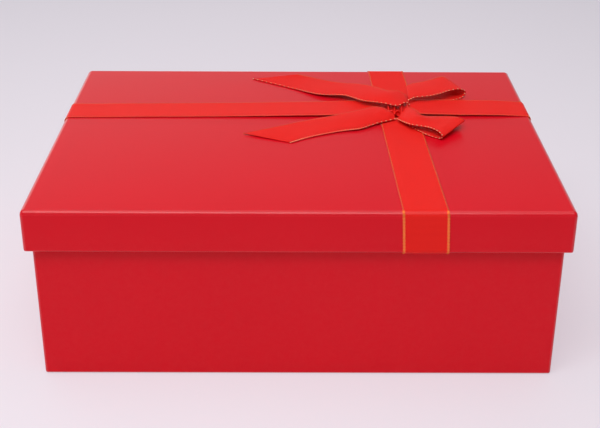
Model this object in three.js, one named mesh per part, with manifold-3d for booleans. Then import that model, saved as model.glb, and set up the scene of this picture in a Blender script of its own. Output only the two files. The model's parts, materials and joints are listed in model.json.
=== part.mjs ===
import * as THREE from "three";
import { mergeVertices } from "three/addons/utils/BufferGeometryUtils.js";
import Module from "manifold-3d";

const wasm = await Module();
wasm.setup();

// A rigid gift box: a paper-wrapped board tray, a lift-off lid and a tied ribbon.
// Sizes are in millimetres. +X is right, +Y is back and +Z is up.
// The origin is on the table, under the middle of the box.

// Base tray, measured outside its paper
const baseLength = 292;
const baseDepth = 223.5;
const baseHeight = 102.9;

// Lid: height of its skirt, and its gaps to the base's rim and walls
const lidDrop = 24.7;
const lidSeatGap = 0.3;
const lidRunningGap = 0.4;

// Board, papers and the film of glue between them
const boardThick = 2;
const wrapThick = 0.2;
const liningThick = 0.2;
const stayThick = 0.15;
const undersideThick = 0.2;
const glueLine = 0.05;

// Folded edges and the reach of each paper
const foldRadius = 2.4;
const cornerEase = 0.3;
const baseTurnIn = 15;
const baseTurnUnder = 15;
const lidTurnIn = 12;
const liningStop = 4;
const stayLeg = 18;
const stayStop = 3;
const undersideInset = 5;

// Ribbon, and where its bands lie: distances in from the lid's back and right edges
const ribbonWidth = 25;
const ribbonThick = 0.4;
const ribbonGap = 0.1;
const ribbonTuck = 14;
const tuckBend = 0.8;
const tabThick = 0.15;
const tabMargin = 2;
const longBandInLeft = 81.8;
const longBandInRight = 78;
const crossBandInFront = 81.9;
const crossBandInBack = 87.9;
const bandLift = 1.9;

// Roundness of the model
const foldSteps = 4;
const cornerSteps = 3;
const stripSteps = 4;
const stripColumns = 4;
const knotSides = 20;
const knotRings = 12;
const cutOver = 1;

// Depths from an outside paper face inward
const skinDepth = wrapThick + stayThick + 2 * glueLine;
const turnInDepth = skinDepth + boardThick + glueLine + wrapThick;
const wallDepth = turnInDepth + glueLine + liningThick;
const tuckDepth = 2 * glueLine + tabThick + ribbonThick;

// Lid size and levels, worked out from the base
const lidReach = wallDepth + tuckDepth + lidRunningGap;
const lidLength = baseLength + 2 * lidReach;
const lidDepth = baseDepth + 2 * lidReach;
const lidTop = baseHeight + lidSeatGap + liningThick + glueLine + boardThick + skinDepth;
const lidRim = lidTop - lidDrop;
const baseBottom = undersideThick + glueLine;

// Levels of a ribbon's middle surface above the lid's top: on the lid, on one band, over the raised band
const onLid = ribbonGap + ribbonThick / 2;
const onBand = onLid + ribbonThick + ribbonGap;
const overLongBand = onBand + bandLift;

const red = new THREE.MeshStandardMaterial({ color: 0xc81a28, roughness: 0.42, metalness: 0 });
const liningRed = new THREE.MeshStandardMaterial({ color: 0xb3202a, roughness: 0.85, metalness: 0 });
const greyBoard = new THREE.MeshStandardMaterial({ color: 0x9c9284, roughness: 0.95, metalness: 0 });
const kraft = new THREE.MeshStandardMaterial({ color: 0xb99a6b, roughness: 0.9, metalness: 0 });
const tape = new THREE.MeshStandardMaterial({ color: 0xe6e1d2, roughness: 0.5, metalness: 0 });
const ribbonRed = new THREE.MeshStandardMaterial({ color: 0xe03127, roughness: 0.6, metalness: 0 });

const box = new THREE.Group();

function addPiece(name, geometry, material) {
  const mesh = new THREE.Mesh(geometry, material);
  mesh.name = name;
  box.add(mesh);
}

function toSolid(geometry) {
  geometry.deleteAttribute("normal");
  geometry.deleteAttribute("uv");
  const merged = mergeVertices(geometry);
  const vertProperties = new Float32Array(merged.attributes.position.array);
  const triVerts = new Uint32Array(merged.index.array);
  return new wasm.Manifold(new wasm.Mesh({ numProp: 3, vertProperties, triVerts }));
}

function toGeometry(solid) {
  const mesh = solid.getMesh();
  const geometry = new THREE.BufferGeometry();
  geometry.setAttribute("position", new THREE.BufferAttribute(mesh.vertProperties, 3));
  geometry.setIndex(new THREE.BufferAttribute(mesh.triVerts, 1));
  geometry.computeVertexNormals();
  return geometry;
}

// A square-edged block between two levels, given by its corners in plan
function block(left, right, front, back, low, high) {
  const geometry = new THREE.BoxGeometry(right - left, back - front, high - low);
  geometry.translate((left + right) / 2, (front + back) / 2, (low + high) / 2);
  return toSolid(geometry);
}

function centredBlock(length, depth, low, high) {
  return block(-length / 2, length / 2, -depth / 2, depth / 2, low, high);
}

function roundedOutline(length, depth, radius) {
  const x = length / 2 - radius;
  const y = depth / 2 - radius;
  const quarter = Math.PI / 2;
  const outline = new THREE.Shape();
  outline.absarc(x, -y, radius, -quarter, 0);
  outline.absarc(x, y, radius, 0, quarter);
  outline.absarc(-x, y, radius, quarter, 2 * quarter);
  outline.absarc(-x, -y, radius, 2 * quarter, 3 * quarter);
  outline.closePath();
  return outline;
}

// The form of a wrapped box with folded edges, drawn in by an inset on every side
function foldedForm(size, inset) {
  const bevel = foldRadius - inset;
  const outline = roundedOutline(size.length - 2 * foldRadius, size.depth - 2 * foldRadius, cornerEase);
  const geometry = new THREE.ExtrudeGeometry(outline, {
    depth: size.high - size.low - 2 * foldRadius,
    bevelSize: bevel,
    bevelThickness: bevel,
    bevelSegments: foldSteps,
    curveSegments: cornerSteps,
  });
  geometry.translate(0, 0, size.low + foldRadius);
  return toSolid(geometry);
}

const baseSize = { length: baseLength, depth: baseDepth, low: baseBottom, high: baseHeight };
const lidSize = { length: lidLength, depth: lidDepth, low: lidRim, high: lidTop };

// Boards: one wide panel and four walls butted to it, all inside the paper
function addBoards(prefix, panelName, size, panelLow, wallLow, wallHigh) {
  const form = foldedForm(size, skinDepth);
  const x = size.length / 2 - skinDepth;
  const y = size.depth / 2 - skinDepth;
  const sideY = y - boardThick - glueLine;
  const panels = [
    [panelName, block(-x, x, -y, y, panelLow, panelLow + boardThick)],
    ["front", block(-x, x, -y, boardThick - y, wallLow, wallHigh)],
    ["back", block(-x, x, y - boardThick, y, wallLow, wallHigh)],
    ["left", block(-x, boardThick - x, -sideY, sideY, wallLow, wallHigh)],
    ["right", block(x - boardThick, x, -sideY, sideY, wallLow, wallHigh)],
  ];
  for (const [name, panel] of panels) {
    addPiece(`${prefix}_${name}_board`, toGeometry(panel.intersect(form)), greyBoard);
  }
}

// Paper stays folded round the upright corners, between the boards and the wrap
function addCornerStays(prefix, size) {
  const outerInset = wrapThick + glueLine;
  const sleeve = foldedForm(size, outerInset).subtract(foldedForm(size, outerInset + stayThick));
  const low = size.low + foldRadius + stayStop;
  const high = size.high - foldRadius - stayStop;
  for (const [side, x] of [["left", -size.length / 2], ["right", size.length / 2]]) {
    for (const [face, y] of [["front", -size.depth / 2], ["back", size.depth / 2]]) {
      const corner = block(x - stayLeg, x + stayLeg, y - stayLeg, y + stayLeg, low, high);
      addPiece(`${prefix}_stay_${face}_${side}`, toGeometry(sleeve.intersect(corner)), kraft);
    }
  }
}

function paperShell(size) {
  return foldedForm(size, 0).subtract(foldedForm(size, wrapThick));
}

// The strip of wrap turned in over a rim: a collar inside the walls, open in the middle
function turnIn(shell, size, low, high) {
  const length = size.length - 2 * turnInDepth;
  const depth = size.depth - 2 * turnInDepth;
  const collar = centredBlock(length + 2 * wrapThick, depth + 2 * wrapThick, low, high);
  const mouth = centredBlock(length, depth, low - cutOver, high + cutOver);
  return shell.add(collar).subtract(mouth);
}

function addBaseWrap() {
  const rim = baseHeight - wrapThick / 2;
  const wrap = turnIn(paperShell(baseSize), baseSize, baseHeight - baseTurnIn, rim);
  const length = baseLength - 2 * baseTurnUnder;
  const depth = baseDepth - 2 * baseTurnUnder;
  const underside = centredBlock(length, depth, baseBottom - cutOver, baseBottom + foldRadius);
  addPiece("base_wrap", toGeometry(wrap.subtract(underside)), red);
}

function addLidWrap() {
  const wrap = turnIn(paperShell(lidSize), lidSize, lidRim + wrapThick / 2, lidRim + lidTurnIn);
  addPiece("lid_wrap", toGeometry(wrap), red);
}

function addUndersideSheet() {
  const length = baseLength - 2 * undersideInset;
  const depth = baseDepth - 2 * undersideInset;
  addPiece("base_underside_sheet", toGeometry(centredBlock(length, depth, 0, undersideThick)), red);
}

// A lining is a thin paper tray; its hollow runs out past the open side
function addLining(name, size, low, high, hollowLow, hollowHigh) {
  const length = size.length - 2 * wallDepth;
  const depth = size.depth - 2 * wallDepth;
  const outside = centredBlock(length + 2 * liningThick, depth + 2 * liningThick, low, high);
  const hollow = centredBlock(length, depth, hollowLow, hollowHigh);
  addPiece(name, toGeometry(outside.subtract(hollow)), liningRed);
}

// A strip's closed solid, from rows of points across its middle surface
function stripGeometry(rows) {
  const columns = rows[0].length;
  const lastRow = rows.length - 1;
  const lastColumn = columns - 1;
  const upper = [];
  const lower = [];
  rows.forEach((row, i) => row.forEach((point, j) => {
    const along = rows[Math.min(i + 1, lastRow)][j].clone().sub(rows[Math.max(i - 1, 0)][j]);
    const across = row[Math.min(j + 1, lastColumn)].clone().sub(row[Math.max(j - 1, 0)]);
    const offset = along.cross(across).setLength(ribbonThick / 2);
    upper.push(point.clone().add(offset));
    lower.push(point.clone().sub(offset));
  }));
  const at = (i, j) => i * columns + j;
  const below = (i, j) => upper.length + at(i, j);
  const index = [];
  const quad = (a, b, c, d) => index.push(a, b, c, a, c, d);
  for (let i = 0; i < lastRow; i += 1) {
    for (let j = 0; j < lastColumn; j += 1) {
      quad(at(i, j), at(i + 1, j), at(i + 1, j + 1), at(i, j + 1));
      quad(below(i, j), below(i, j + 1), below(i + 1, j + 1), below(i + 1, j));
    }
    quad(below(i, 0), below(i + 1, 0), at(i + 1, 0), at(i, 0));
    quad(at(i, lastColumn), at(i + 1, lastColumn), below(i + 1, lastColumn), below(i, lastColumn));
  }
  for (let j = 0; j < lastColumn; j += 1) {
    quad(below(0, j), at(0, j), at(0, j + 1), below(0, j + 1));
    quad(at(lastRow, j), below(lastRow, j), below(lastRow, j + 1), at(lastRow, j + 1));
  }
  const geometry = new THREE.BufferGeometry().setFromPoints([...upper, ...lower]);
  geometry.setIndex(index);
  geometry.computeVertexNormals();
  return geometry;
}

// A path in a plane whose corners are rounded: each point is [run, level, radius]
function roundedPath(corners) {
  const points = corners.map(([run, level]) => new THREE.Vector2(run, level));
  const last = points.length - 1;
  const path = [points[0]];
  for (let k = 1; k < last; k += 1) {
    const before = points[k - 1].clone().sub(points[k]).normalize();
    const after = points[k + 1].clone().sub(points[k]).normalize();
    const half = Math.acos(THREE.MathUtils.clamp(before.dot(after), -1, 1)) / 2;
    const reach = corners[k][2] / Math.tan(half);
    const start = points[k].clone().addScaledVector(before, reach);
    const end = points[k].clone().addScaledVector(after, reach);
    const inward = before.clone().add(after).setLength(corners[k][2] / Math.sin(half));
    const centre = points[k].clone().add(inward);
    const sweep = end.clone().sub(centre).angle() - start.clone().sub(centre).angle();
    const turn = Math.atan2(Math.sin(sweep), Math.cos(sweep));
    for (let step = 0; step <= foldSteps; step += 1) {
      path.push(start.clone().rotateAround(centre, (turn * step) / foldSteps));
    }
  }
  path.push(points[last]);
  return path;
}

// A band's run over the lid: up inside the skirt, round the rim, over the top and down again
function bandPath(span, rises) {
  const outside = span / 2 + onLid;
  const inside = span / 2 - wallDepth - tuckDepth + ribbonThick / 2;
  const over = lidTop + onLid;
  const under = lidRim - onLid;
  const tuckEnd = lidRim + ribbonTuck;
  const bend = foldRadius + onLid;
  return roundedPath([
    [-inside, tuckEnd, 0],
    [-inside, under, tuckBend],
    [-outside, under, bend],
    [-outside, over, bend],
    ...rises.map(([run, rise]) => [run, over + rise, ribbonWidth]),
    [outside, over, bend],
    [outside, under, bend],
    [inside, under, tuckBend],
    [inside, tuckEnd, 0],
  ]);
}

// Each band lies a little askew, as it was pulled: its middle line runs between two edge distances
function longBandY(x) {
  const share = THREE.MathUtils.clamp(x / lidLength + 0.5, 0, 1);
  return lidDepth / 2 - THREE.MathUtils.lerp(longBandInLeft, longBandInRight, share);
}

function crossBandX(y) {
  const share = THREE.MathUtils.clamp(y / lidDepth + 0.5, 0, 1);
  return lidLength / 2 - THREE.MathUtils.lerp(crossBandInFront, crossBandInBack, share);
}

const bowX = crossBandX(longBandY(crossBandX(0)));
const bowY = longBandY(bowX);

// The bow is drawn in 25ths of the ribbon's width, so it grows with the ribbon
const bowUnit = ribbonWidth / 25;

// The long band rises over the crossing: run from the knot, and share of its lift
const longBandRise = [[-110, 0.15], [-45, 0.55], [-14, 1], [14, 1], [38, 0.3]];

function addBands() {
  const half = ribbonWidth / 2;
  const rises = longBandRise.map(([run, share]) => [bowX + run * bowUnit, share * bandLift]);
  const longRows = bandPath(lidLength, rises).map(({ x, y: z }) => [
    new THREE.Vector3(x, longBandY(x) - half, z),
    new THREE.Vector3(x, longBandY(x) + half, z),
  ]);
  const crossRows = bandPath(lidDepth, []).map(({ x: y, y: z }) => [
    new THREE.Vector3(crossBandX(y) + half, y, z),
    new THREE.Vector3(crossBandX(y) - half, y, z),
  ]);
  addPiece("ribbon_long_band", stripGeometry(longRows), ribbonRed);
  addPiece("ribbon_cross_band", stripGeometry(crossRows), ribbonRed);
}

// Adhesive tabs between the lid's lining and the tucked-up ribbon ends
function addTabs() {
  const half = ribbonWidth / 2 - tabMargin;
  const low = lidRim + liningStop + tabMargin;
  const high = lidRim + ribbonTuck - tabMargin;
  const inX = lidLength / 2 - wallDepth - glueLine;
  const inY = lidDepth / 2 - wallDepth - glueLine;
  const [leftY, rightY] = [longBandY(-inX), longBandY(inX)];
  const [frontX, backX] = [crossBandX(-inY), crossBandX(inY)];
  const tabs = {
    left: block(-inX, tabThick - inX, leftY - half, leftY + half, low, high),
    right: block(inX - tabThick, inX, rightY - half, rightY + half, low, high),
    front: block(frontX - half, frontX + half, -inY, tabThick - inY, low, high),
    back: block(backX - half, backX + half, inY - tabThick, inY, low, high),
  };
  for (const [side, tab] of Object.entries(tabs)) {
    addPiece(`ribbon_tab_${side}`, toGeometry(tab), tape);
  }
}

// Each bow strip is a list of crossings of the ribbon: its near edge, its far edge and its crown.
// Edge points are [right of the knot, behind the knot, a level above the lid, rise over that level].
// All but the level are in bow units.
const tailBack = [
  { near: [8, -1, overLongBand, 1.3], far: [8.6, 10.5, overLongBand, 1.5], crown: 0 },
  { near: [6, -2, overLongBand, 3.2], far: [5.6, 11, overLongBand, 4.5], crown: 0.3 },
  { near: [-0.5, -9.6, overLongBand, 3.8], far: [1.5, 13.8, overLongBand, 5.6], crown: 0.6 },
  { near: [-9.2, -4.9, overLongBand, 3.6], far: [-4.4, 13, overLongBand, 5.8], crown: 1.2 },
  { near: [-22.5, 2.9, overLongBand, 2.6], far: [-12.4, 24.2, overLongBand, 4.5], crown: 0.8 },
  { near: [-33.7, 17.2, onLid, 3.3], far: [-21.5, 36, onLid, 4.7], crown: 0.6 },
  { near: [-50, 24, onLid, 1.4], far: [-37, 45.5, onLid, 2.5], crown: 0.3 },
  { near: [-65.5, 36.9, onLid, 0.3], far: [-52.5, 59, onLid, 0.9], crown: 0.1 },
  { near: [-96, 58.7, onLid, 0.1], far: [-64, 68.4, onLid, 0.2], crown: 0 },
];
const tailFront = [
  { near: [-2.4, -18.3, onBand, 0.6], far: [-1.5, -4.5, overLongBand, 1.9], crown: 1.2 },
  { near: [-11.6, -26.6, onBand, 0.5], far: [-10.5, -3.8, overLongBand, 2], crown: 1.6 },
  { near: [-23.1, -34.2, onLid, 0.8], far: [-22.5, -11, overLongBand, 1.3], crown: 1 },
  { near: [-36, -39, onLid, 0.45], far: [-43.3, -17.1, onLid, 2], crown: 0.6 },
  { near: [-51.9, -46, onLid, 0.2], far: [-62, -24.2, onLid, 1], crown: 0.2 },
  { near: [-60.5, -51.2, onLid, 0.15], far: [-74.1, -30.4, onLid, 0.8], crown: 0 },
  { near: [-68.6, -57.5, onLid, 0.1], far: [-98.4, -43.7, onLid, 0.7], crown: 0 },
];
const loopBack = [
  { near: [10.8, 6.3, overLongBand, 2.9], far: [11, 27.5, onBand, 6.1], crown: 0.5 },
  { near: [15, 8.5, overLongBand, 3.3], far: [15, 31.5, onLid, 6.7], crown: 0.6 },
  { near: [23.5, 10.9, overLongBand, 3.6], far: [21, 36.2, onLid, 6.9], crown: 0.5 },
  { near: [36, 19, onLid, 6.1], far: [28.5, 40.8, onLid, 7.1], crown: 0.3 },
  { near: [46, 24.2, onLid, 5.9], far: [35.5, 44.6, onLid, 7.2], crown: 0 },
  { near: [50, 24.4, onLid, 3.3], far: [39.2, 45.8, onLid, 4.2], crown: 0 },
  { near: [47.2, 22.2, onLid, 0.7], far: [36, 45, onLid, 1.1], crown: 0 },
  { near: [36, 16.8, onLid, 1.6], far: [28, 41.5, onLid, 0.7], crown: 0 },
  { near: [25, 11.2, overLongBand, 0.4], far: [20.5, 36, onLid, 0.65], crown: 0 },
  { near: [16, 7.2, overLongBand, 0.6], far: [14.5, 29, onBand, 0.4], crown: 0 },
  { near: [11, 5.6, overLongBand, 0.8], far: [11.5, 25, onBand, 0.7], crown: 0 },
];
const loopFront = [
  { near: [0.6, -19.6, onBand, 1.2], far: [8.2, -6.5, overLongBand, 2.7], crown: 1.8 },
  { near: [6.1, -27.8, onBand, 2], far: [14.9, -17.5, overLongBand, 2.2], crown: 2.2 },
  { near: [11.1, -35, onBand, 2.9], far: [24, -19.6, onLid, 4.5], crown: 1.2 },
  { near: [19.1, -40.5, onLid, 4.4], far: [33, -21.8, onLid, 4.4], crown: 0.5 },
  { near: [24.2, -46.2, onLid, 4.3], far: [39.2, -25.6, onLid, 4.2], crown: 0 },
  { near: [26.4, -50.2, onLid, 2.4], far: [42.2, -28.2, onLid, 2.3], crown: 0 },
  { near: [24, -49.4, onLid, 0.5], far: [39.5, -26.6, onLid, 0.65], crown: 0 },
  { near: [14.3, -39.3, onLid, 0.55], far: [30, -21, onLid, 0.65], crown: 0 },
  { near: [6.8, -28.8, onBand, 0.15], far: [20, -17.6, onBand, 0.25], crown: 0 },
  { near: [2.6, -22.2, onBand, 0.45], far: [12.5, -15.4, onBand, 0.7], crown: 0 },
];

function bowPoint([right, behind, level, rise]) {
  return new THREE.Vector3(
    bowX + right * bowUnit,
    bowY + behind * bowUnit,
    lidTop + level + rise * bowUnit,
  );
}

// Rows across a bow strip: its edges run smoothly through the crossings, its middle stands up by the crown
function bowRows(crossings) {
  const nearEdge = new THREE.CatmullRomCurve3(crossings.map(({ near }) => bowPoint(near)));
  const farEdge = new THREE.CatmullRomCurve3(crossings.map(({ far }) => bowPoint(far)));
  const crowns = new THREE.CatmullRomCurve3(crossings.map(({ crown }, k) => new THREE.Vector3(k, 0, crown)));
  const steps = (crossings.length - 1) * stripSteps;
  const rows = [];
  for (let i = 0; i <= steps; i += 1) {
    const near = nearEdge.getPoint(i / steps);
    const far = farEdge.getPoint(i / steps);
    const crown = crowns.getPoint(i / steps).z * bowUnit;
    const row = [];
    for (let j = 0; j <= stripColumns; j += 1) {
      const share = j / stripColumns;
      const point = near.clone().lerp(far, share);
      point.z += 4 * crown * share * (1 - share);
      row.push(point);
    }
    rows.push(row);
  }
  return rows;
}

// The knot's core: gathered ribbon on the raised band, under the top wrap
const knotHalf = { right: 3, behind: 10.5, above: 1.5 };
const knotMiddle = [2.3, -3, overLongBand, 1.4];

function addKnot() {
  const geometry = new THREE.SphereGeometry(1, knotSides, knotRings);
  geometry.rotateX(Math.PI / 2);
  geometry.scale(knotHalf.right, knotHalf.behind, knotHalf.above);
  geometry.scale(bowUnit, bowUnit, bowUnit);
  const middle = bowPoint(knotMiddle);
  geometry.translate(middle.x, middle.y, middle.z);
  addPiece("bow_knot", toGeometry(toSolid(geometry)), ribbonRed);
}

function addBow() {
  const strips = { tail_back: tailBack, tail_front: tailFront, loop_back: loopBack, loop_front: loopFront };
  for (const [name, crossings] of Object.entries(strips)) {
    addPiece(`bow_${name}`, stripGeometry(bowRows(crossings)), ribbonRed);
  }
  addKnot();
}

// Base tray
const floorLow = baseBottom + skinDepth;
const floorTop = floorLow + boardThick;
addBoards("base", "floor", baseSize, floorLow, floorTop + glueLine, baseHeight - skinDepth);
addCornerStays("base", baseSize);
addBaseWrap();
addUndersideSheet();
const baseLiningLow = floorTop + glueLine;
addLining("base_lining", baseSize, baseLiningLow, baseHeight - liningStop,
  baseLiningLow + liningThick, baseHeight);

// Lid
const lidPanelLow = lidTop - skinDepth - boardThick;
addBoards("lid", "top", lidSize, lidPanelLow, lidRim + skinDepth, lidPanelLow - glueLine);
addCornerStays("lid", lidSize);
addLidWrap();
const lidLiningHigh = lidPanelLow - glueLine;
addLining("lid_lining", lidSize, lidRim + liningStop, lidLiningHigh, lidRim, lidLiningHigh - liningThick);

// Ribbon and bow, carried by the lid
addBands();
addTabs();
addBow();

export default box;
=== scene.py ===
import bmesh
import bpy
import json
import math
import numpy as np
from mathutils import Matrix, Vector


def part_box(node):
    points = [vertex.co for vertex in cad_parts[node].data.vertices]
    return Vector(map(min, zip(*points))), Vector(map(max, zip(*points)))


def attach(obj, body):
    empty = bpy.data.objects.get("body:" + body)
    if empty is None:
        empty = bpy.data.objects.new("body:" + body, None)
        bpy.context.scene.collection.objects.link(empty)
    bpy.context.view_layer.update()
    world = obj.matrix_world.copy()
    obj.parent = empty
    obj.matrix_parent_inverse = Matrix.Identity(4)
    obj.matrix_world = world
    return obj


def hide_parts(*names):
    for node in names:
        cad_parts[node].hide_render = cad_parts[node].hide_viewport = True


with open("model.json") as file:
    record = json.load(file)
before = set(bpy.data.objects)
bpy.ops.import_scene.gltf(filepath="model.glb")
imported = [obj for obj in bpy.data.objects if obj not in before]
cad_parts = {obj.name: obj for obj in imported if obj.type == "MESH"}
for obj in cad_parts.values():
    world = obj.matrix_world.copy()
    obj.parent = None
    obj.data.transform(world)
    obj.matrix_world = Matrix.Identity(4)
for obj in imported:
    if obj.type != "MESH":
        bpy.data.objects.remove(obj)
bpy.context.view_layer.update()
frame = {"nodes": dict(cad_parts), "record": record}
bpy.ops.object.select_all(action="DESELECT")
bpy.context.scene.view_settings.view_transform = "Standard"
print("frame loaded:", len(frame["nodes"]), "nodes")

mm = 0.001  # Blender's lengths are metres
tolerance = 1e-6
lidLow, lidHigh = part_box("lid_wrap")
baseLow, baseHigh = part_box("base_wrap")

# Camera, solved from the edges of the lid and the base
shot = {
    "place": (-2.46, -665.83, 373.68),  # millimetres
    "focalPixels": 1144.9,
    "imageWidth": 600,
    "sensorWidth": 36,
    "clipStart": 10,
    "turn": -0.309,  # degrees
    "tilt": 63.944,
    "lean": 0.308,
}


def addCamera():
    data = bpy.data.cameras.new("shot")
    data.sensor_fit = "HORIZONTAL"
    data.sensor_width = shot["sensorWidth"]
    data.lens = shot["sensorWidth"] * shot["focalPixels"] / shot["imageWidth"]
    data.clip_start = shot["clipStart"] * mm
    camera = bpy.data.objects.new("shot", data)
    bpy.context.scene.collection.objects.link(camera)
    turn, tilt, lean = (
        Matrix.Rotation(math.radians(shot[name]), 4, axis)
        for name, axis in (("turn", "Z"), ("tilt", "X"), ("lean", "Z"))
    )
    camera.matrix_world = Matrix.Translation(Vector(shot["place"]) * mm) @ turn @ tilt @ lean
    bpy.context.scene.camera = camera


addCamera()
print("camera set")


# Node helpers
def fillSockets(tree, node, values):
    for socket, value in values.items():
        if isinstance(value, bpy.types.NodeSocket):
            tree.links.new(value, node.inputs[socket])
        else:
            node.inputs[socket].default_value = value


def addNode(tree, kind, values=None, **settings):
    node = tree.nodes.new("ShaderNode" + kind)
    for key, value in settings.items():
        setattr(node, key, value)
    fillSockets(tree, node, values or {})
    return node


def addMath(tree, operation, *values, clamp=False):
    settings = {"operation": operation, "use_clamp": clamp}
    return addNode(tree, "Math", dict(enumerate(values)), **settings).outputs[0]


def mixColors(tree, share, first, second):
    return addNode(tree, "Mix", {0: share, 6: first, 7: second}, data_type="RGBA").outputs[2]


# Takes a value from one pair of limits to another
def mapRange(tree, value, before, after):
    return addNode(tree, "MapRange", {
        "Value": value, "From Min": before[0], "From Max": before[1],
        "To Min": after[0], "To Max": after[1],
    }).outputs["Result"]


def readMask(tree, name):
    mask = addNode(tree, "Attribute", attribute_name=name, attribute_type="GEOMETRY")
    return mask.outputs["Fac"]


def newGroup(name, inputs, outputs):
    group = bpy.data.node_groups.new(name, "ShaderNodeTree")
    for label, kind, value in inputs:
        socket = group.interface.new_socket(
            label, in_out="INPUT", socket_type="NodeSocket" + kind)
        if value is not None:
            socket.default_value = value
    for label, kind in outputs:
        group.interface.new_socket(label, in_out="OUTPUT", socket_type="NodeSocket" + kind)
    source = group.nodes.new("NodeGroupInput").outputs
    return group, source, group.nodes.new("NodeGroupOutput")


def useGroup(tree, group, values):
    return addNode(tree, "Group", values, node_tree=group).outputs


# A colour that drifts a little lighter and darker, in patches of a set size
def makeMottle():
    group, source, sink = newGroup(
        "mottle",
        [("Color", "Color", None), ("Vector", "Vector", None),
         ("Scale", "Float", 40.0), ("Amount", "Float", 0.05)],
        [("Color", "Color"), ("Value", "Float")],
    )
    noise = addNode(group, "TexNoise", {
        "Vector": source["Vector"], "Scale": source["Scale"], "Detail": 4.0, "Roughness": 0.55,
    }).outputs["Fac"]
    swing = addMath(group, "MULTIPLY_ADD", noise, 2.0, -1.0)
    level = addMath(group, "MULTIPLY_ADD", swing, source["Amount"], 1.0)
    tint = addNode(group, "HueSaturation", {"Color": source["Color"], "Value": level})
    fillSockets(group, sink, {"Color": tint.outputs["Color"], "Value": noise})
    return group


# Paper fibre: a fine tooth over a slow wave
def makeFibre():
    group, source, sink = newGroup(
        "fibre",
        [("Vector", "Vector", None), ("Tooth Scale", "Float", 3000.0),
         ("Wave Scale", "Float", 30.0), ("Wave Share", "Float", 0.5)],
        [("Height", "Float")],
    )
    tooth = addNode(group, "TexNoise", {
        "Vector": source["Vector"], "Scale": source["Tooth Scale"], "Detail": 3.0, "Roughness": 0.6,
    }).outputs["Fac"]
    wave = addNode(group, "TexNoise", {
        "Vector": source["Vector"], "Scale": source["Wave Scale"], "Detail": 1.0,
    }).outputs["Fac"]
    height = addNode(group, "Mix", {0: source["Wave Share"], 2: tooth, 3: wave}).outputs[0]
    fillSockets(group, sink, {"Height": height})
    return group


# Rubbed folds with a painted highlight: a paler colour where the fold mask and a scuffing noise
# meet, partly wear and partly painted highlight
def makeEdgeWearAndHighlight():
    group, source, sink = newGroup(
        "edgeWearAndHighlight",
        [("Color", "Color", None), ("Worn And Highlit Color", "Color", None), ("Wear And Highlight", "Float", 0.0),
         ("Vector", "Vector", None), ("Scale", "Float", 250.0), ("Amount", "Float", 0.5)],
        [("Color", "Color")],
    )
    scuff = addNode(group, "TexNoise", {
        "Vector": source["Vector"], "Scale": source["Scale"], "Detail": 4.0, "Roughness": 0.7,
    }).outputs["Fac"]
    patch = mapRange(group, scuff, (0.35, 0.7), (0, 1))
    mask = addMath(group, "MULTIPLY", patch, source["Wear And Highlight"])
    mask = addMath(group, "MULTIPLY", mask, source["Amount"], clamp=True)
    fillSockets(group, sink, {
        "Color": mixColors(group, mask, source["Color"], source["Worn And Highlit Color"]),
    })
    return group


# Ribbed weave laid out on a strip's own map: u across and v along, in metres
def makeRibWeave():
    group, source, sink = newGroup(
        "ribWeave",
        [("Map", "Vector", None), ("Rib Pitch", "Float", 0.0007),
         ("Yarn Pitch", "Float", 0.00022)],
        [("Height", "Float"), ("Crest", "Float")],
    )
    strip = addNode(group, "SeparateXYZ", {"Vector": source["Map"]}).outputs
    ribTurn, yarnTurn = (
        addMath(group, "MULTIPLY", addMath(group, "DIVIDE", run, pitch), 2 * math.pi)
        for run, pitch in ((strip["Y"], source["Rib Pitch"]), (strip["X"], source["Yarn Pitch"]))
    )
    halfTurn = addMath(group, "MULTIPLY", ribTurn, 0.5)
    ribs, yarns, overUnder = (
        addMath(group, "COSINE", turn) for turn in (ribTurn, yarnTurn, halfTurn)
    )
    woven = addMath(group, "MULTIPLY", yarns, overUnder)
    fillSockets(group, sink, {
        "Height": addMath(group, "MULTIPLY_ADD", woven, 0.5, 0.5),
        "Crest": addMath(group, "MULTIPLY_ADD", ribs, 0.5, 0.5),
    })
    return group


mottle = makeMottle()
fibre = makeFibre()
edgeWearAndHighlight = makeEdgeWearAndHighlight()
ribWeave = makeRibWeave()


# Materials. Patches and specks are a scale and how far the colour drifts,
# roughness goes from one value to the other over them.
def newMaterial(name, ior):
    material = bpy.data.materials.new(name)
    material.use_nodes = True
    tree = material.node_tree
    shader = tree.nodes["Principled BSDF"]
    shader.inputs["IOR"].default_value = ior
    place = addNode(tree, "TexCoord").outputs["Object"]
    return material, tree, shader, place


def addPatches(tree, color, place, patches):
    return useGroup(tree, mottle, {
        "Color": color, "Vector": place, "Scale": patches[0], "Amount": patches[1],
    })


def addBump(tree, height, strength, depth):
    bump = addNode(tree, "Bump", {"Height": height, "Strength": strength, "Distance": depth})
    return bump.outputs["Normal"]


def addGrain(tree, place, grain):
    height = useGroup(tree, fibre, {
        "Vector": place, "Tooth Scale": grain["tooth"],
        "Wave Scale": grain["wave"], "Wave Share": grain["waveShare"],
    })["Height"]
    return addBump(tree, height, grain["strength"], grain["depth"])


wrapLook = {
    "color": (0.74, 0.003, 0.014, 1),
    # the paler fold colour is partly rubbed wear and partly a painted highlight along the folds
    "wornAndHighlit": (0.86, 0.10, 0.09, 1),
    "wear": 0.25,
    "patches": (18, 0.03),
    "specks": (2600, 0.05),
    "roughness": (0.28, 0.32),
    "ior": 1.25,
    "polish": (0.6, 0.76),  # the gloss that the folding bone leaves on a fold
    "polishPatches": (0.35, 0.65),  # patch levels at its least and its most
    "polishRoughness": 0.31,
    "grain": {"tooth": 2200, "wave": 30, "waveShare": 0, "strength": 0.06, "depth": 0.1 * mm},
}


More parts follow.
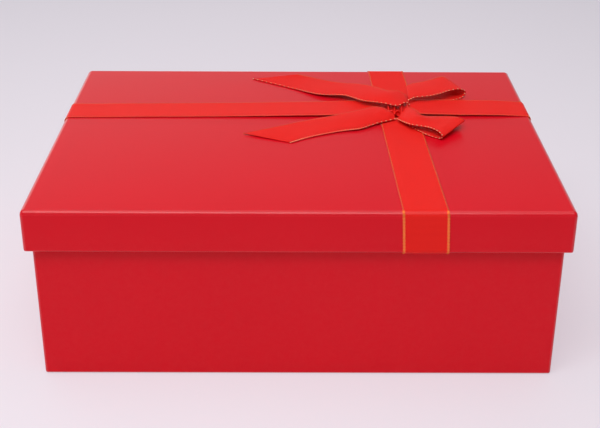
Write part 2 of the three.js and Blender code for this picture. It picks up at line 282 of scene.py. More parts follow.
def makeWrapPaper():
    material, tree, shader, place = newMaterial("satin red wrap", wrapLook["ior"])
    tone = addPatches(tree, wrapLook["color"], place, wrapLook["patches"])
    speck = addPatches(tree, tone["Color"], place, wrapLook["specks"])
    # folds painted paler: partly wear, partly painted highlight
    wornAndHighlit = useGroup(tree, edgeWearAndHighlight, {
        "Color": speck["Color"], "Worn And Highlit Color": wrapLook["wornAndHighlit"], "Vector": place,
        "Wear And Highlight": readMask(tree, "foldWearAndHighlight"), "Amount": wrapLook["wear"],
    })
    rubbed = mapRange(tree, tone["Value"], wrapLook["polishPatches"], wrapLook["polish"])
    fillSockets(tree, shader, {
        "Base Color": wornAndHighlit["Color"],
        "Roughness": mapRange(tree, tone["Value"], (0, 1), wrapLook["roughness"]),
        "Coat Weight": addMath(tree, "MULTIPLY", readMask(tree, "foldPolish"), rubbed),
        "Coat Roughness": wrapLook["polishRoughness"],
        "Normal": addGrain(tree, place, wrapLook["grain"]),
    })
    return material


liningLook = {
    "color": (0.52, 0.008, 0.016, 1),
    "patches": (30, 0.05),
    "specks": (1500, 0.12),
    "roughness": (0.78, 0.92),
    "ior": 1.3,
    "grain": {"tooth": 1800, "wave": 40, "waveShare": 0.35, "strength": 0.5, "depth": 0.15 * mm},
}
boardLook = {
    "color": (0.30, 0.265, 0.215, 1),
    "patches": (60, 0.08),
    "specks": (900, 0.22),
    "roughness": (0.88, 1.0),
    "ior": 1.3,
    "grain": {"tooth": 1200, "wave": 90, "waveShare": 0.4, "strength": 0.6, "depth": 0.2 * mm},
}
stayLook = {
    "color": (0.46, 0.29, 0.13, 1),
    "stretch": (1.0, 1.0, 0.15),  # its strands run upright
    "patches": (500, 0.15),
    "roughness": (0.7, 0.9),
    "ior": 1.4,
    "grain": {"tooth": 1500, "wave": 120, "waveShare": 0.4, "strength": 0.4, "depth": 0.15 * mm},
}
tapeLook = {
    "color": (0.74, 0.70, 0.58, 1),
    "patches": (220, 0.08),
    "roughness": (0.35, 0.6),
    "ior": 1.5,
    "grain": {"tooth": 900, "wave": 200, "waveShare": 0.7, "strength": 0.3, "depth": 0.1 * mm},
}


# The pieces inside the box: lining, board, stays and tape
def makeInside(name, look):
    material, tree, shader, place = newMaterial(name, look["ior"])
    if "stretch" in look:
        strands = addNode(tree, "Mapping", {"Vector": place, "Scale": look["stretch"]})
        place = strands.outputs["Vector"]
    tone = addPatches(tree, look["color"], place, look["patches"])
    if "specks" in look:
        tone = addPatches(tree, tone["Color"], place, look["specks"])
    fillSockets(tree, shader, {
        "Base Color": tone["Color"],
        "Roughness": mapRange(tree, tone["Value"], (0, 1), look["roughness"]),
        "Normal": addGrain(tree, place, look["grain"]),
    })
    return material


# Ribbon: every band, loop and tail is cut from this, with gold stitches over its edges
ribbon = {
    "width": 25 * mm,
    "thick": 0.26 * mm,
    "ribPitch": 0.7 * mm,
    "ribDepth": 0.07 * mm,
    "rowsPerRib": 4,
    "yarnPitch": 0.22 * mm,
    "selvage": 0.06,  # share of the width that has no ribs, at each edge
    "pullLean": (0.07, 0.22),  # lean out of a panel at which yarns begin to shine, and shine most
    "stitchPitch": {"stretched": 1.9 * mm, "laid": 2.6 * mm, "folded": 2.6 * mm},  # as held
    "stitchInset": 0.5 * mm,
    "stitchSegments": 8,
    "drawnTilt": 0.97,  # stitches are drawn out where a band faces up less than this
    # half sizes in millimetres across the edge, along it and up, roundness in each
    # (1 is round, 0 is boxy), and share of the pale glint
    "stitches": {
        "raised": {"half": (0.42, 0.44, 0.38), "roundness": (0.8, 0.8, 0.8), "glint": 1.0},
        "flat": {"half": (0.42, 0.38, 0.32), "roundness": (0.8, 0.8, 0.6), "glint": 0.0},
        "drawn": {"half": (0.8, 1.05, 0.2), "roundness": (0.6, 0.6, 0.3), "glint": 0.0},
    },
}
columnShares = np.array(
    [0, 0.03, 0.06, 0.14, 0.25, 0.375, 0.5, 0.625, 0.75, 0.86, 0.94, 0.97, 1])
ribbonLook = {
    "color": (0.94, 0.022, 0.015, 1),
    # painted shade: the rib valleys take this darker colour, the crests the ribbon's colour
    "paintedValleyShade": (0.82, 0.012, 0.010, 1),
    "selvage": (0.66, 0.008, 0.008, 1),  # painted shade along both edges
    "edgeShadeFade": (0.5 * mm, 0.9 * mm),
    "patches": (120, 0.03),
    "roughness": (0.6, 0.45),  # in the valleys, and on the crests
    "ior": 1.19,
    "sheen": 0.5,  # of the pulled yarns where a band bends round the lid
    "sheenRoughness": 0.34,
    "weave": {"strength": 0.35, "depth": 0.05 * mm},
}


def makeRibbonCloth():
    material, tree, shader, place = newMaterial("ribbed red ribbon", ribbonLook["ior"])
    strip = addNode(tree, "UVMap", uv_map="UVMap").outputs["UV"]
    weave = useGroup(tree, ribWeave, {
        "Map": strip, "Rib Pitch": ribbon["ribPitch"], "Yarn Pitch": ribbon["yarnPitch"],
    })
    tone = addPatches(tree, ribbonLook["color"], place, ribbonLook["patches"])
    # painted shade darkens the rib valleys against the crests
    ribs = mixColors(tree, weave["Crest"], ribbonLook["paintedValleyShade"], tone["Color"])
    across = addNode(tree, "SeparateXYZ", {"Vector": strip}).outputs["X"]
    fromFar = addMath(tree, "SUBTRACT", ribbon["width"], across)
    fromEdge = addMath(tree, "MINIMUM", across, fromFar)
    # painted shade along both edges, fading out inwards
    inside = mapRange(tree, fromEdge, ribbonLook["edgeShadeFade"], (0, 1))
    pulled = readMask(tree, "foldPolish")
    fillSockets(tree, shader, {
        "Base Color": mixColors(tree, inside, ribbonLook["selvage"], ribs),
        "Roughness": mapRange(tree, weave["Crest"], (0, 1), ribbonLook["roughness"]),
        "Coat Weight": addMath(tree, "MULTIPLY", pulled, ribbonLook["sheen"]),
        "Coat Roughness": ribbonLook["sheenRoughness"],
        "Normal": addBump(tree, weave["Height"], **ribbonLook["weave"]),
    })
    return material


goldLook = {
    "color": (0.98, 0.19, 0.045, 1),
    "glint": (1.0, 0.62, 0.36, 1),
    "patches": (900, 0.15),
    "roughness": (0.16, 0.26),
    "metallic": 0.3,
    "ior": 1.25,
    "twist": {"tooth": 6000, "wave": 1500, "waveShare": 0.5, "strength": 0.3, "depth": 0.03 * mm},
}


def makeGoldThread():
    material, tree, shader, place = newMaterial("gold thread", goldLook["ior"])
    thread = mixColors(tree, readMask(tree, "glint"), goldLook["color"], goldLook["glint"])
    tone = addPatches(tree, thread, place, goldLook["patches"])
    fillSockets(tree, shader, {
        "Base Color": tone["Color"],
        "Metallic": goldLook["metallic"],
        "Roughness": mapRange(tree, tone["Value"], (0, 1), goldLook["roughness"]),
        "Normal": addGrain(tree, place, goldLook["twist"]),
    })
    return material


wrapPaper = makeWrapPaper()
ribbonCloth = makeRibbonCloth()
goldThread = makeGoldThread()
nodeFinishes = {
    "grey_board": makeInside("grey board", boardLook),
    "stay_paper": makeInside("gummed kraft stay", stayLook),
    "adhesive_tape": makeInside("adhesive tape", tapeLook),
    "lining_paper": makeInside("matte red lining", liningLook),
    "wrap_paper": wrapPaper,
    "ribbon_fabric": ribbonCloth,
}
for subpart in frame["record"]["subparts"]:
    node = frame["nodes"][subpart["node"]]
    node.data.materials.clear()
    node.data.materials.append(nodeFinishes[subpart["material_slot"]])
print("materials made")


# Piece helpers
def nameNew(name):
    piece = bpy.context.object
    piece.name = piece.data.name = name
    return piece


def addMask(piece, name, values):
    piece.data.attributes.new(name, "FLOAT", "POINT").data.foreach_set("value", values)


# How far each point's normal leans out of the box's own directions
def pointLeans(piece):
    return np.array([1 - max(abs(part) for part in vert.normal) for vert in piece.data.vertices])


# Wrapped paper: a folded shell with its turn-in round the rim
paper = {
    "thick": 0.2 * mm,
    "foldSegments": 8,
    "panelWeight": 100,  # how firmly the panels stay flat in the shading beside a fold
    "rimDepth": 2.7 * mm,  # outside face to the inside of the turn-in
    "wearReach": 1.5 * mm,
    "polishLean": 0.04,  # lean out of the panel at which a fold is fully polished
}
lidPaper = {
    "folds": {"top": 2.95 * mm, "upright": 2.3 * mm, "bottom": 1.1 * mm, "rim": 0.3 * mm},
    "turnIn": 12 * mm,
}
basePaper = {
    "folds": {"top": 1.1 * mm, "upright": 1.8 * mm, "bottom": 1.1 * mm, "rim": 0.3 * mm},
    "turnIn": 15 * mm,
    "turnUnder": 15 * mm,
}


def pickFace(piece, level):
    bpy.ops.mesh.select_mode(type="FACE")
    bpy.ops.mesh.select_all(action="DESELECT")
    mesh = bmesh.from_edit_mesh(piece.data)
    for face in mesh.faces:
        if abs(face.calc_center_median().z - level) < tolerance:
            face.select_set(True)
    bmesh.update_edit_mesh(piece.data)


def startBox(name, low, high):
    bpy.ops.object.select_all(action="DESELECT")
    bpy.ops.mesh.primitive_cube_add(size=1, location=(low + high) / 2)
    piece = nameNew(name)
    piece.scale = high - low
    bpy.ops.object.transform_apply(location=True, rotation=True, scale=True)
    bpy.ops.object.mode_set(mode="EDIT")
    return piece


# Opens a face and turns the paper in round the rim by reach
def turnRim(piece, level, reach):
    pickFace(piece, level)
    bpy.ops.mesh.inset(thickness=paper["rimDepth"], depth=0)
    bpy.ops.mesh.extrude_region_move(TRANSFORM_OT_translate={"value": (0, 0, reach)})
    bpy.ops.mesh.delete(type="FACE")


# Which fold an edge of the box is, by the outer faces that it lies in
def foldName(ends, low, high, rimLevel):
    def liesAt(axis, level):
        return all(abs(end[axis] - level) < tolerance for end in ends)

    onX, onY, onZ = (liesAt(k, low[k]) or liesAt(k, high[k]) for k in range(3))
    if onX and onY:
        return "upright"
    if onX or onY:
        if onZ:
            return "top" if liesAt(2, high.z) else "bottom"
        return None
    return "rim" if liesAt(2, rimLevel) else None


def foldEdges(piece, low, high, rimLevel, folds):
    bpy.ops.object.mode_set(mode="OBJECT")
    widest = max(folds.values())
    weights = piece.data.attributes.new("bevel_weight_edge", "FLOAT", "EDGE")
    for edge, weight in zip(piece.data.edges, weights.data):
        ends = [piece.data.vertices[v].co for v in edge.vertices]
        weight.value = folds.get(foldName(ends, low, high, rimLevel), 0) / widest
    bend = piece.modifiers.new("folds", "BEVEL")
    bend.limit_method = "WEIGHT"
    bend.width = widest
    bend.segments = paper["foldSegments"]
    bpy.ops.object.modifier_apply(modifier="folds")


# Rubbing and the painted highlight are strongest on sharp corners, polish covers the bends
def markFolds(piece, low, high):
    wear = []
    for vert in piece.data.vertices:
        place = vert.co
        gaps = sorted(min(place[k] - low[k], high[k] - place[k]) for k in range(3))
        wear.append(max(0.0, 1 - (gaps[0] + gaps[1]) / paper["wearReach"]))
    addMask(piece, "foldWearAndHighlight", wear)
    addMask(piece, "foldPolish", np.minimum(1, pointLeans(piece) / paper["polishLean"]))


def finishPaper(piece, low, high):
    bpy.ops.object.shade_smooth()
    skin = piece.modifiers.new("paper", "SOLIDIFY")
    skin.thickness = paper["thick"]
    skin.offset = -1
    skin.use_even_offset = True
    bpy.ops.object.modifier_apply(modifier="paper")
    panels = piece.modifiers.new("flat panels", "WEIGHTED_NORMAL")
    panels.weight = paper["panelWeight"]
    bpy.ops.object.modifier_apply(modifier="flat panels")
    markFolds(piece, low, high)
    piece.data.materials.append(wrapPaper)


def addLidPaper():
    piece = startBox("lidPaper", lidLow, lidHigh)
    turnRim(piece, lidLow.z, lidPaper["turnIn"])
    foldEdges(piece, lidLow, lidHigh, lidLow.z, lidPaper["folds"])
    finishPaper(piece, lidLow, lidHigh)
    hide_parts("lid_wrap")
    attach(piece, "lid")


def addBasePaper():
    piece = startBox("basePaper", baseLow, baseHigh)
    turnRim(piece, baseHigh.z, -basePaper["turnIn"])
    pickFace(piece, baseLow.z)
    bpy.ops.mesh.inset(thickness=basePaper["turnUnder"], depth=0)
    bpy.ops.mesh.delete(type="FACE")
    foldEdges(piece, baseLow, baseHigh, baseHigh.z, basePaper["folds"])
    finishPaper(piece, baseLow, baseHigh)
    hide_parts("base_wrap")
    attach(piece, "base")


addLidPaper()
addBasePaper()
print("wrapped papers made")


# A smooth line through given points, also where they are unevenly spaced
def smoothLine(points, steps):
    leastGap = 1e-4
    points = np.array(points, float)
    points = np.vstack([2 * points[0] - points[1], points, 2 * points[-1] - points[-2]])
    t = np.arange(steps)[:, None] / steps
    line = []
    for p0, p1, p2, p3 in zip(points, points[1:], points[2:], points[3:]):
        d0, d1, d2 = (
            max(np.linalg.norm(b - a) ** 0.5, leastGap)
            for a, b in ((p0, p1), (p1, p2), (p2, p3))
        )
        m1 = ((p1 - p0) / d0 - (p2 - p0) / (d0 + d1) + (p2 - p1) / d1) * d1
        m2 = ((p2 - p1) / d1 - (p3 - p1) / (d1 + d2) + (p3 - p2) / d2) * d1
        line.append((2 * t**3 - 3 * t**2 + 1) * p1 + (t**3 - 2 * t**2 + t) * m1
                    + (3 * t**2 - 2 * t**3) * p2 + (t**3 - t**2) * m2)
    return np.vstack(line + [points[-2:-1]])


def runAlong(line):
    return np.concatenate([[0], np.cumsum(np.linalg.norm(np.diff(line, axis=0), axis=1))])


def unit(vectors):
    least = 1e-12
    return vectors / np.maximum(np.linalg.norm(vectors, axis=-1, keepdims=True), least)


# Points of a strip in even rows along its middle, arched up by its crown
def stripPoints(strip, step):
    run = runAlong((strip["near"] + strip["far"]) / 2)
    along = np.linspace(0, run[-1], max(2, round(run[-1] / step)) + 1)
    near, far = (
        np.stack([np.interp(along, run, part) for part in strip[edge].T], axis=1)[:, None]
        for edge in ("near", "far")
    )
    share = columnShares[:, None]
    points = near * (1 - share) + far * share
    crown = np.interp(along, run, strip["crown"])
    points[:, :, 2] += 4 * crown[:, None] * columnShares * (1 - columnShares)
    return along, points


def sheetNormals(points):
    alongWay = np.gradient(points, axis=0)
    acrossWay = np.gradient(points, axis=1)
    return unit(np.cross(alongWay, acrossWay))


def addCloth(name, points, along, columnRun):
    rows, columns = points.shape[:2]
    bpy.ops.object.select_all(action="DESELECT")
    bpy.ops.mesh.primitive_grid_add(x_subdivisions=columns - 1, y_subdivisions=rows - 1)
    piece = nameNew(name)
    piece.data.vertices.foreach_set("co", points.reshape(-1))
    corner = np.empty(len(piece.data.loops), int)
    piece.data.loops.foreach_get("vertex_index", corner)
    strip = np.stack([columnRun[corner % columns], along[corner // columns]], axis=1)
    piece.data.uv_layers.active.data.foreach_set("uv", strip.reshape(-1))
    piece.data.update()
    bpy.ops.object.shade_smooth()
    cloth = piece.modifiers.new("cloth", "SOLIDIFY")
    cloth.thickness = ribbon["thick"]
    cloth.offset = 0
    bpy.ops.object.modifier_apply(modifier="cloth")
    piece.data.materials.append(ribbonCloth)
    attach(piece, "lid")
    return piece


def stitchKind(held, edge, upward):
    if held == "stretched":
        return "drawn" if abs(upward[2]) < ribbon["drawnTilt"] else "flat"
    return "raised" if edge == "near" else "flat"


# Gold thread whipped over both edges: each stitch shows as a short bead across the edge
def addGoldEdge(name, strip, held):
    _, points = stripPoints(strip, ribbon["stitchPitch"][held])
    normals = sheetNormals(points)
    segments = ribbon["stitchSegments"]
    bpy.ops.object.select_all(action="DESELECT")
    bpy.ops.mesh.primitive_uv_sphere_add(segments=segments, ring_count=segments, radius=1)
    piece = nameNew(name)
    ball = np.array([vert.co for vert in piece.data.vertices])
    faces = [tuple(face.vertices) for face in piece.data.polygons]
    shapes = {
        kind: np.sign(ball) * np.abs(ball) ** np.array(stitch["roundness"])
        * np.array(stitch["half"]) * mm
        for kind, stitch in ribbon["stitches"].items()
    }
    verts, stitches, glints = [], [], []
    for edge, outer, inner in (("near", 0, 1), ("far", -1, -2)):
        rows = zip(points[:, outer], points[:, inner], normals[:, outer])
        for place, beside, upward in rows:
            outward = unit(place - beside)
            axes = np.stack([outward, np.cross(upward, outward), upward])
            kind = stitchKind(held, edge, upward)
            stitches += [tuple(len(verts) * len(ball) + v for v in face) for face in faces]
            verts.append(shapes[kind] @ axes + place - outward * ribbon["stitchInset"])
            glints += [ribbon["stitches"][kind]["glint"]] * len(ball)
    piece.data.clear_geometry()
    piece.data.from_pydata(np.concatenate(verts), [], stitches)
    addMask(piece, "glint", glints)
    bpy.ops.object.shade_smooth()
    piece.data.materials.append(goldThread)
    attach(piece, "lid")
    return piece


def addRibbon(name, strip, node, held):
    along, points = stripPoints(strip, ribbon["ribPitch"] / ribbon["rowsPerRib"])
    inEdge = np.minimum(columnShares, 1 - columnShares) >= ribbon["selvage"] - tolerance
    ribs = np.cos(2 * math.pi * along / ribbon["ribPitch"])[:, None] * inEdge
    points = points + sheetNormals(points) * (ribs * ribbon["ribDepth"] / 2)[:, :, None]
    piece = addCloth(name, points, along, columnShares * ribbon["width"])
    if held == "stretched":  # its yarns are pulled tight and shine at the lid's folds
        pulled = np.interp(pointLeans(piece), ribbon["pullLean"], (0, 1))
        addMask(piece, "foldPolish", pulled)
    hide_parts(node)
    gold = addGoldEdge(name + "GoldEdge", strip, held)


# Bands: over the lid, round its rim and up inside the skirt, in millimetres
bands = {
    "onLid": 0.3,  # ribbon's middle over the paper
    "inside": 3.4,  # lid's outside face to the middle of the tucked end
    "tuck": 14,
    "bend": 3.2,
    "under": 1.1,  # the loose fold hangs this far below the rim
    "dropLean": 1.2,  # how far the front drop runs to the right on its way down
    "tuckBend": 0.8,
    "liftBend": 25,
    "lift": 1.9,
    # the middle line's distance from the lid's back edge, at the left and at the right
    "longIn": (81.8, 77),
    # and from the lid's right edge, at the front and at the back
    "crossIn": (81.9, 87.9),
    # run from the knot, and share of the lift there
    "rises": [(-110, 0.15), (-45, 0.55), (-14, 1), (14, 1), (40, 0.75), (66, 0.6)],
    # run from the knot, and how far the back edge rides up there
    "roll": [(-60, 0), (20, 0.2), (50, 0.6), (85, 0.3)],
    "arcSteps": 48,
}
lidTop = lidHigh.z / mm
lidRim = lidLow.z / mm
lidLength = 2 * lidHigh.x / mm
lidDepth = 2 * lidHigh.y / mm


def between(pair, share):
    return pair[0] + (pair[1] - pair[0]) * np.clip(share, 0, 1)


def longBandY(x):
    return lidDepth / 2 - between(bands["longIn"], x / lidLength + 0.5)


def crossBandX(y):
    return lidLength / 2 - between(bands["crossIn"], y / lidDepth + 0.5)


bowX = crossBandX(longBandY(crossBandX(0)))
bowY = longBandY(bowX)
bowPlace = np.array([bowX, bowY, lidTop])


# Corners are (run, level, radius)
def roundedPath(corners):
    path = [np.array(corners[0][:2], float)]
    for before, corner, after in zip(corners, corners[1:], corners[2:]):
        middle = np.array(corner[:2], float)
        back = unit(np.array(before[:2], float) - middle)
        ahead = unit(np.array(after[:2], float) - middle)
        half = math.acos(np.clip(back @ ahead, -1, 1)) / 2
        centre = middle + unit(back + ahead) * corner[2] / math.sin(half)
        start = middle + back * corner[2] / math.tan(half) - centre
        end = middle + ahead * corner[2] / math.tan(half) - centre
        turn = math.atan2(start[0] * end[1] - start[1] * end[0], start @ end)
        for angle in np.linspace(0, turn, bands["arcSteps"] + 1):
            c, s = math.cos(angle), math.sin(angle)
            path.append(centre + [c * start[0] - s * start[1], s * start[0] + c * start[1]])
    path.append(np.array(corners[-1][:2], float))
    return np.array(path)


def bandPath(span, rises):
    outside = span / 2 + bands["onLid"]
    inside = span / 2 - bands["inside"]
    over = lidTop + bands["onLid"]
    under = lidRim - bands["under"]
    end = lidRim + bands["tuck"]
    return roundedPath([
        (-inside, end, 0), (-inside, under, bands["tuckBend"]),
        (-outside, under, bands["bend"]), (-outside, over, bands["bend"]),
        *[(run, over + rise, bands["liftBend"]) for run, rise in rises],
        (outside, over, bands["bend"]), (outside, under, bands["bend"]),
        (inside, under, bands["tuckBend"]), (inside, end, 0),
    ])


def bandStrip(points, half):
    crown = np.zeros(len(points))
    return {"near": (points - half) * mm, "far": (points + half) * mm, "crown": crown}


def addLongBand():
    half = ribbon["width"] / mm / 2
    path = bandPath(lidLength, [(bowX + x, share * bands["lift"]) for x, share in bands["rises"]])
    run, level = path.T
    middle = np.stack([run, longBandY(run), level], axis=1)
    roll = np.interp(run - bowX, *np.transpose(bands["roll"]))
    roll[level < lidTop] = 0
    across = np.stack([0 * roll, half + 0 * roll, roll], axis=1)
    strip = bandStrip(middle, across)
    addRibbon("longBand", strip, "ribbon_long_band", "stretched")


def addCrossBand():
    half = ribbon["width"] / mm / 2
    run, level = bandPath(lidDepth, []).T
    down = np.clip((lidTop - level) / (lidTop - lidRim), 0, 1) * (run < 0)
    inFold = np.maximum.accumulate(down[::-1])[::-1]  # the tucked end hangs on from the rim
    middle = np.stack([crossBandX(run) + inFold * bands["dropLean"], run, level], axis=1)
    strip = bandStrip(middle, np.array([-half, 0, 0]))
    addRibbon("crossBand", strip, "ribbon_cross_band", "stretched")


addLongBand()
addCrossBand()
print("bands made")

# Bow: crossings of the ribbon as near edge, far edge and crown, in millimetres.
# Points are right of the knot, behind the knot and above the lid.
onLid = bands["onLid"]
onBand = 0.8  # resting on one band
overBand = 2.7  # over the crossing of both
bow = {
    "lineSteps": 120,
    "tailBack": [
        ((8, -1, overBand + 1.3), (8.6, 10.5, overBand + 1.5), 0),
        ((6, -2, overBand + 3.2), (5.6, 11, overBand + 4.5), 0.3),
        ((-0.5, -9.6, overBand + 3.8), (1.5, 13.8, overBand + 5.6), 0.6),
        ((-9.2, -4.9, overBand + 3.6), (-4.4, 13, overBand + 5.8), 1.2),
        ((-22.5, 2.9, overBand + 2.6), (-12.4, 24.2, overBand + 4.5), 0.8),
        ((-33.7, 17.2, onLid + 3.3), (-21.5, 36, onLid + 4.7), 0.6),
        ((-50, 24, onLid + 1.4), (-37, 45.5, onLid + 2.5), 0.3),
        ((-65.5, 36.9, onLid + 0.3), (-52.5, 59, onLid + 0.9), 0.1),
        ((-96, 58.7, onLid + 0.1), (-64, 68.4, onLid + 0.2), 0),
    ],
    "tailFront": [
        ((-2.6, -20.6, onBand + 0.6), (-2.8, -13.4, overBand + 0.3), 1),
        ((-7.3, -23.6, onBand + 0.55), (-5.4, -13.3, overBand + 1.3), 2.2),
        ((-12.6, -26.6, onBand + 0.5), (-9.6, -9.2, overBand + 2.1), 2.4),
        ((-19.2, -31.6, onLid + 0.9), (-15.3, -6.5, overBand + 2.1), 1.6),
        ((-25.7, -36.5, onLid + 0.8), (-23.2, -10.6, overBand + 1.7), 1),
        ((-36, -39, onLid + 0.45), (-43.3, -17.1, onLid + 2), 0.6),
        ((-51.9, -46, onLid + 0.2), (-62, -24.2, onLid + 1), 0.2),
        ((-60.5, -51.2, onLid + 0.15), (-74.1, -30.4, onLid + 0.8), 0),
        ((-68.6, -57.5, onLid + 0.1), (-98.4, -43.7, onLid + 0.7), 0),
    ],
    "loopBack": [
        ((8, 3.2, overBand + 2.9), (8.4, 28.2, onBand + 6), 0.5),
        ((12.5, 7.3, overBand + 3.3), (13.5, 32.2, onLid + 6.7), 0.6),
        ((20.9, 8.5, overBand + 3.6), (18.4, 34, onLid + 6.9), 0.5),
        ((28.7, 12.6, onLid + 6.1), (25.7, 38.5, onLid + 7.1), 0.4),
        ((37.1, 19.7, onLid + 6.1), (32.4, 43.6, onLid + 7.2), 0.2),
        ((44.9, 23.2, onLid + 5.7), (35.6, 45.8, onLid + 6.7), 0),
        ((48.4, 24.6, onLid + 3.3), (39.2, 47.6, onLid + 4), 0),
        ((46.4, 22.4, onLid + 0.4), (37, 46, onLid + 0.8), 0),
        ((36, 16, onLid + 0.4), (28.5, 41.5, onLid + 0.6), 0),
        ((25, 13.8, onLid + 0.35), (20.5, 37, onLid + 0.55), 0),
        ((16, 13.4, onLid + 0.4), (14.5, 32, onLid + 0.7), 0),
        ((11.5, 13.2, onBand + 0.5), (11.5, 29, onBand + 0.7), 0),
    ],
    "loopFront": [
        ((-1.6, -21.8, onBand + 1.2), (7, -7, overBand + 2.2), 0.5),
        ((1.6, -29, onBand + 2), (11.6, -14.7, overBand + 2.7), 2),
        ((6.1, -36.2, onBand + 3), (14.5, -24, onLid + 4.9), 2.6),
        ((14.3, -41.3, onLid + 4.2), (22.4, -24.5, onLid + 4.8), 1.3),
        ((18.5, -44.8, onLid + 4.4), (31.6, -25, onLid + 5.1), 0.4),
        ((22.3, -50.6, onLid + 4), (36.5, -28.6, onLid + 5.8), 0),
        ((23.9, -53, onLid + 2.2), (40.1, -31.5, onLid + 4.8), 0),
        ((22.4, -51, onLid + 0.4), (38, -30, onLid + 2.6), 0),
        ((14.8, -44.5, onLid + 0.4), (29, -24, onLid + 1.3), 0),
        ((10, -37.8, onLid + 0.5), (22, -17, onLid + 0.8), 0),
        ((4.9, -30, onBand + 0.4), (14, -15, onBand + 0.5), 0),
        ((-0.5, -23, onBand + 0.5), (8, -14, onBand + 0.7), 0),
    ],
}
# The knot: a short length gathered into pleats, over the front of the crossing
# and in under the top tail
knot = {
    "path": [
        (0, -13, 2.6), (0, -15.4, 2.8), (0.1, -15.8, 3.4), (0.3, -13.4, 4.0),
        (0.5, -9.5, 4.5), (0.7, -4, 4.8), (0.9, 2, 4.6), (0.9, 7, 3.8),
    ],
    "pleats": [  # across the path and up from it
        (-7.4, -1.6), (-6.4, 0), (-5.2, -2), (-3.8, -2), (-2.6, 0), (-1.4, -2),
        (0.4, -2.1), (1.8, 0.2), (3.2, -1.6), (4.6, -1.8), (5.8, 0), (6.6, -1.6),
    ],
    "steps": 12,
}


def bowStrip(crossings):
    near, far, crown = zip(*crossings)
    steps = bow["lineSteps"]
    heights = [(k, 0, height) for k, height in enumerate(crown)]
    return {
        "near": (smoothLine(near, steps) + bowPlace) * mm,
        "far": (smoothLine(far, steps) + bowPlace) * mm,
        "crown": smoothLine(heights, steps)[:, 2] * mm,
    }


def addKnot():
    middle = smoothLine(knot["path"], knot["steps"])
    pleats = smoothLine(knot["pleats"], knot["steps"])
    side = np.array([1.0, 0, 0])
    upward = unit(np.cross(side, unit(np.gradient(middle, axis=0))))
    points = middle[:, None] + side * pleats[:, :1] + upward[:, None] * pleats[:, 1:]
    along = runAlong(middle) * mm
    columnRun = runAlong(points[len(points) // 2]) * mm
    piece = addCloth("bowKnot", (points + bowPlace) * mm, along, columnRun)
    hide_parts("bow_knot")


def addBow():
    for name, part, node, held, band in (
        ("bowTailBack", "tailBack", "bow_tail_back", "laid", "longBand"),
        ("bowTailFront", "tailFront", "bow_tail_front", "laid", "longBand"),
        ("bowLoopBack", "loopBack", "bow_loop_back", "folded", "longBand"),
        ("bowLoopFront", "loopFront", "bow_loop_front", "folded", "crossBand"),
    ):
        addRibbon(name, bowStrip(bow[part]), node, held)
    addKnot()


addBow()
print("bow made")

# Studio: pale floor, two soft lamps, and a surround that is bright low behind the box
studio = {
    "floorColor": (0.95, 0.92, 0.96, 1),
    "floorPatches": (3, 0.01),
    "floorRoughness": 0.9,
    "floorIor": 1.3,
    "floorSize": 30,
    "floorDrop": 0.2 * mm,
    "floorCentre": (-0.1, -0.21, 0),  # where the painted pool of light is palest, on the stretched map
    "floorStretch": (1, 0.7, 1),
    "floorNear": (0.86, 0.77, 0.855, 1),  # painted light on the ground there, pinker with painted bounce from the box, and far from there
    "floorFar": (0.56, 0.53, 0.60, 1),
    "floorReach": (0.1, 1.1),
    "glowShare": 0.6,
    "backWall": (1.32, 1.31, 1.29, 1),  # low behind the box, to the left
    "room": (0.10, 0.098, 0.104, 1),
    "wallFades": {  # two directions, and the wall's share at each
        "X": ((-0.3, 0.3), (1.0, 0.38)),
        "Y": ((-0.2, 0.7), (0.25, 1.0)),
        "Z": ((0.28, 0.43), (1.0, 0.0)),
    },
    "lamps": [  # name, place, target, width, height, watts
        ("overhead", (-0.15, 0.1, 1.3), (-0.15, 0.101, 0.08), 1.8, 2.0, 11.8),
        ("key", (-0.3, -0.8, 1.38), (0, 0, 0.06), 1.4, 0.6, 11.8),
    ],
}
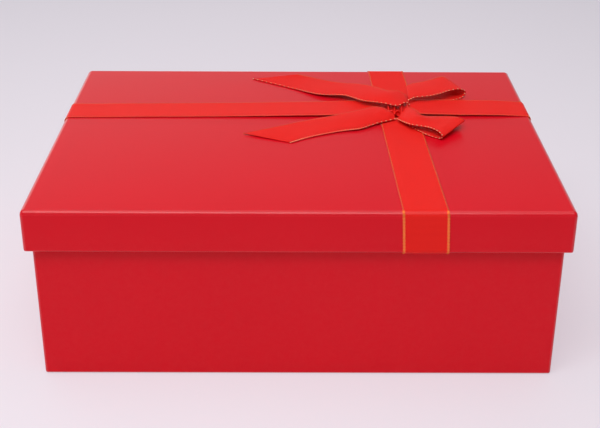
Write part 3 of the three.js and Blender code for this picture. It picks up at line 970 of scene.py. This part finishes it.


# The camera sees the floor part lit and part as a pale glowing ground, a painted pool of light
# round the box that fades away from it
def addFloor():
    bpy.ops.object.select_all(action="DESELECT")
    middle = (0, 0, -studio["floorDrop"])
    bpy.ops.mesh.primitive_plane_add(size=studio["floorSize"], location=middle)
    floor = nameNew("floor")
    material, tree, shader, place = newMaterial("pale floor", studio["floorIor"])
    tone = addPatches(tree, studio["floorColor"], place, studio["floorPatches"])
    fillSockets(tree, shader, {
        "Base Color": tone["Color"], "Roughness": studio["floorRoughness"],
    })
    ray = addNode(tree, "LightPath").outputs
    seen = addMath(tree, "MAXIMUM", ray["Is Camera Ray"], ray["Is Glossy Ray"])
    seen = addMath(tree, "MAXIMUM", seen, ray["Is Transmission Ray"])
    ground = addNode(
        tree, "VectorMath", {0: place, 1: studio["floorStretch"]}, operation="MULTIPLY",
    ).outputs["Vector"]
    away = addNode(
        tree, "VectorMath", {0: ground, 1: studio["floorCentre"]}, operation="DISTANCE",
    ).outputs["Value"]
    fade = mapRange(tree, away, studio["floorReach"], (0, 1))
    pale = mixColors(tree, fade, studio["floorNear"], studio["floorFar"])
    glow = addNode(tree, "Emission", {"Color": pale}).outputs["Emission"]
    share = addMath(tree, "MULTIPLY", seen, studio["glowShare"])
    surface = addNode(tree, "MixShader", {0: share, 1: shader.outputs["BSDF"], 2: glow})
    fillSockets(tree, tree.nodes["Material Output"], {"Surface": surface.outputs["Shader"]})
    floor.data.materials.append(material)


def addLamps():
    for name, place, target, width, height, watts in studio["lamps"]:
        data = bpy.data.lights.new(name, "AREA")
        data.shape = "RECTANGLE"
        data.size = width
        data.size_y = height
        data.energy = watts
        lamp = bpy.data.objects.new(name, data)
        lamp.location = place
        aim = Vector(target) - Vector(place)
        lamp.rotation_euler = aim.to_track_quat("-Z", "Y").to_euler()
        bpy.context.scene.collection.objects.link(lamp)


def addSurround():
    world = bpy.data.worlds.new("studio")
    bpy.context.scene.world = world
    world.use_nodes = True
    tree = world.node_tree
    direction = addNode(tree, "TexCoord").outputs["Generated"]
    aim = addNode(tree, "SeparateXYZ", {"Vector": direction}).outputs
    share = 1.0
    for axis, (directions, shares) in studio["wallFades"].items():
        share = addMath(tree, "MULTIPLY", mapRange(tree, aim[axis], directions, shares), share)
    around = mixColors(tree, share, studio["room"], studio["backWall"])
    fillSockets(tree, tree.nodes["Background"], {"Color": around})


addFloor()
addLamps()
addSurround()
print("studio made")
